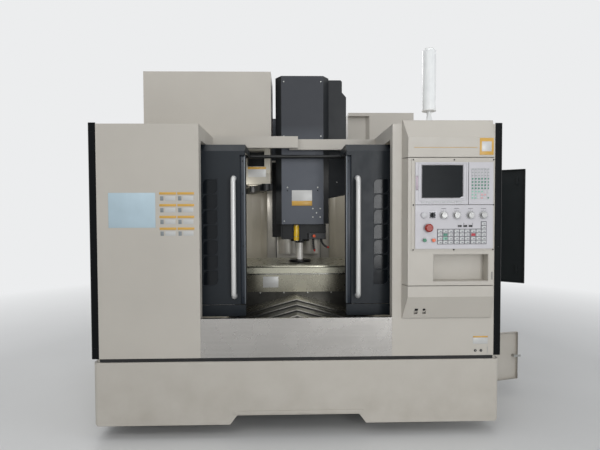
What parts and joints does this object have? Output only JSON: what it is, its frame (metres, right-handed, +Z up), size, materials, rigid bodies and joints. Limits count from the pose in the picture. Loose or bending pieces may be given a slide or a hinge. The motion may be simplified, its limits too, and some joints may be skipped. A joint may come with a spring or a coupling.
{
  "type": "cnc machining center",
  "caption": "Vertical machining center with a moving table, sliding front doors, operator console, tool changer and telescopic way covers.",
  "frame": {"origin": "on the floor, in the middle of the pattern of levelling screws, under the middle of the bed", "axes": "X to the right seen from the operator, Y to the back, Z up; units metres"},
  "size_m": [3.0362, 2.146, 2.386],
  "materials": {
    "casting": "painted grey casting",
    "head_paint": "semi gloss",
    "zinc_steel": "zinc plated",
    "ground_steel": "ground",
    "drive_black": "satin black",
    "cream_paint": "fine texture powder coat",
    "charcoal_paint": "fine texture powder coat",
    "post_paint": "fine texture powder coat",
    "liner_paint": "satin",
    "stainless": "brushed stainless sheet",
    "table_iron": "milled and ground",
    "plate_paint": "satin",
    "display_glass": "glossy dark display",
    "key_plastic": "embossed film",
    "lamp_plastic": "white lamp tube",
    "grey_paint": "satin",
    "hose_plastic": "black segmented hose",
    "arbor_chrome": "polished",
    "handle_chrome": "bright satin",
    "estop_red": "glossy red",
    "button_green": "glossy green",
    "button_orange": "glossy orange",
    "drive_plastic": "black",
    "knob_aluminium": "turned aluminium"
  },
  "bodies": {
    "frame": {"bed": "casting", "column": "casting", "levelling_feet": "zinc_steel", "frame_rails": "ground_steel", "frame_drives": "drive_black", "base_skirt": "cream_paint", "front_panels": "cream_paint", "corner_posts": "post_paint", "door_sills": "charcoal_paint", "side_walls": "cream_paint", "inner_walls": "liner_paint", "roof": "cream_paint", "crossbeams": "cream_paint", "apron": "stainless", "console_shell": "cream_paint", "panel_plates": "plate_paint", "display": "display_glass", "keys": "key_plastic", "beacon": "lamp_plastic", "cabinet": "cream_paint", "magazine_cover": "cream_paint", "atc_box": "grey_paint", "fixed_covers": "stainless"},
    "saddle": {"saddle": "casting", "x_drive": "ground_steel", "saddle_covers": "stainless"},
    "table": {"table": "table_iron", "table_covers": "stainless"},
    "head": {"headstock": "head_paint", "spindle_cartridge": "drive_black", "spindle_motor": "drive_black", "head_cover": "charcoal_paint", "head_fittings": "hose_plastic", "z_cover_head": "stainless"},
    "spindle": {"spindle_shaft": "ground_steel", "test_arbor": "arbor_chrome"},
    "pulley": {"motor_pulley": "ground_steel"},
    "front_cover_1": {"front_cover_1": "stainless"},
    "front_cover_2": {"front_cover_2": "stainless"},
    "rear_cover_1": {"rear_cover_1": "stainless"},
    "x_cover_left": {"x_cover_left": "stainless"},
    "x_cover_right": {"x_cover_right": "stainless"},
    "z_cover_middle": {"z_cover_middle": "stainless"},
    "left_door": {"left_door": "charcoal_paint", "left_handle": "handle_chrome"},
    "right_door": {"right_door": "charcoal_paint", "right_handle": "handle_chrome"},
    "estop": {"estop": "estop_red"},
    "green_button": {"green_button": "button_green"},
    "orange_button": {"orange_button": "button_orange"},
    "selector": {"selector": "drive_plastic"},
    "knob_1": {"knob_1": "knob_aluminium"},
    "knob_2": {"knob_2": "knob_aluminium"},
    "knob_3": {"knob_3": "knob_aluminium"},
    "knob_4": {"knob_4": "knob_aluminium"},
    "side_door": {"side_door": "post_paint"},
    "service_door": {"service_door": "cream_paint"},
    "cam_latch": {"cam_latch": "zinc_steel"},
    "magazine": {"magazine_disc": "grey_paint"},
    "atc_arm": {"atc_arm": "post_paint"}
  },
  "joints": [
    {"name": "y_axis", "type": "slide", "parent": "frame", "child": "saddle", "axis": [0, 1, 0], "range_m": [-0.289, 0.211]},
    {"name": "x_axis", "type": "slide", "parent": "saddle", "child": "table", "axis": [1, 0, 0], "range_m": [-0.4, 0.4]},
    {"name": "z_axis", "type": "slide", "parent": "frame", "child": "head", "axis": [0, 0, 1], "range_m": [0, 0.55]},
    {"name": "spindle_spin", "type": "hinge", "parent": "head", "child": "spindle", "pos_m": [0, -0.395, 1.2], "axis": [0, 0, 1], "continuous": true},
    {"name": "motor_spin", "type": "hinge", "parent": "head", "child": "pulley", "pos_m": [0, -0.155, 1.62], "axis": [0, 0, 1], "continuous": true},
    {"name": "front_cover_1_slide", "type": "slide", "parent": "frame", "child": "front_cover_1", "axis": [0, 1, 0], "range_m": [-0.0965, 0.0705]},
    {"name": "front_cover_2_slide", "type": "slide", "parent": "frame", "child": "front_cover_2", "axis": [0, 1, 0], "range_m": [-0.193, 0.141]},
    {"name": "rear_cover_1_slide", "type": "slide", "parent": "frame", "child": "rear_cover_1", "axis": [0, 1, 0], "range_m": [-0.145, 0.106]},
    {"name": "x_cover_left_slide", "type": "slide", "parent": "saddle", "child": "x_cover_left", "axis": [1, 0, 0], "range_m": [-0.2, 0.2]},
    {"name": "x_cover_right_slide", "type": "slide", "parent": "saddle", "child": "x_cover_right", "axis": [1, 0, 0], "range_m": [-0.2, 0.2]},
    {"name": "z_cover_slide", "type": "slide", "parent": "frame", "child": "z_cover_middle", "axis": [0, 0, 1], "range_m": [0, 0.275]},
    {"name": "left_door_slide", "type": "slide", "parent": "frame", "child": "left_door", "axis": [1, 0, 0], "range_m": [-0.245, 0.31]},
    {"name": "right_door_slide", "type": "slide", "parent": "frame", "child": "right_door", "axis": [1, 0, 0], "range_m": [-0.31, 0.245]},
    {"name": "estop_push", "type": "slide", "parent": "frame", "child": "estop", "axis": [0, 1, 0], "range_m": [0, 0.004]},
    {"name": "green_push", "type": "slide", "parent": "frame", "child": "green_button", "axis": [0, 1, 0], "range_m": [0, 0.004], "stiffness_N_per_m": 400, "springref_m": -0.002},
    {"name": "orange_push", "type": "slide", "parent": "frame", "child": "orange_button", "axis": [0, 1, 0], "range_m": [0, 0.004], "stiffness_N_per_m": 400, "springref_m": -0.002},
    {"name": "selector_turn", "type": "hinge", "parent": "frame", "child": "selector", "pos_m": [0.732, -1.23, 1.307], "axis": [0, 1, 0], "range_deg": [-45, 45]},
    {"name": "knob_1_turn", "type": "hinge", "parent": "frame", "child": "knob_1", "pos_m": [0.796, -1.235, 1.307], "axis": [0, 1, 0], "range_deg": [-135, 135]},
    {"name": "knob_2_turn", "type": "hinge", "parent": "frame", "child": "knob_2", "pos_m": [0.87, -1.235, 1.307], "axis": [0, 1, 0], "range_deg": [-135, 135]},
    {"name": "knob_3_turn", "type": "hinge", "parent": "frame", "child": "knob_3", "pos_m": [0.949, -1.235, 1.307], "axis": [0, 1, 0], "range_deg": [-135, 135]},
    {"name": "knob_4_turn", "type": "hinge", "parent": "frame", "child": "knob_4", "pos_m": [1.023, -1.235, 1.307], "axis": [0, 1, 0], "range_deg": [-135, 135]},
    {"name": "side_door_swing", "type": "hinge", "parent": "frame", "child": "side_door", "pos_m": [1.178, 0.184, 1.2], "axis": [0, 0, 1], "range_deg": [-55, 35]},
    {"name": "service_door_swing", "type": "hinge", "parent": "frame", "child": "service_door", "pos_m": [1.166, -0.65, 0.276], "axis": [0, 0, 1], "range_deg": [-104, 0]},
    {"name": "latch_turn", "type": "hinge", "parent": "service_door", "child": "cam_latch", "pos_m": [1.55024, -0.5542, 0.2765], "axis": [-0.2419, 0.9703, 0], "range_deg": [-45, 45]},
    {"name": "magazine_spin", "type": "hinge", "parent": "frame", "child": "magazine", "pos_m": [-0.748, -0.26, 1.92], "axis": [0, 1, 0], "continuous": true},
    {"name": "atc_swing", "type": "hinge", "parent": "frame", "child": "atc_arm", "pos_m": [-0.32, -0.395, 1.494], "axis": [0, 0, 1], "range_deg": [-28, 20]}
  ],
  "couplings": [
    {"joint": "motor_spin", "follows": "spindle_spin", "ratio": 1},
    {"joint": "front_cover_1_slide", "follows": "y_axis", "ratio": 0.33333},
    {"joint": "front_cover_2_slide", "follows": "y_axis", "ratio": 0.66667},
    {"joint": "rear_cover_1_slide", "follows": "y_axis", "ratio": 0.5},
    {"joint": "x_cover_left_slide", "follows": "x_axis", "ratio": 0.5},
    {"joint": "x_cover_right_slide", "follows": "x_axis", "ratio": 0.5},
    {"joint": "z_cover_slide", "follows": "z_axis", "ratio": 0.5}
  ]
}
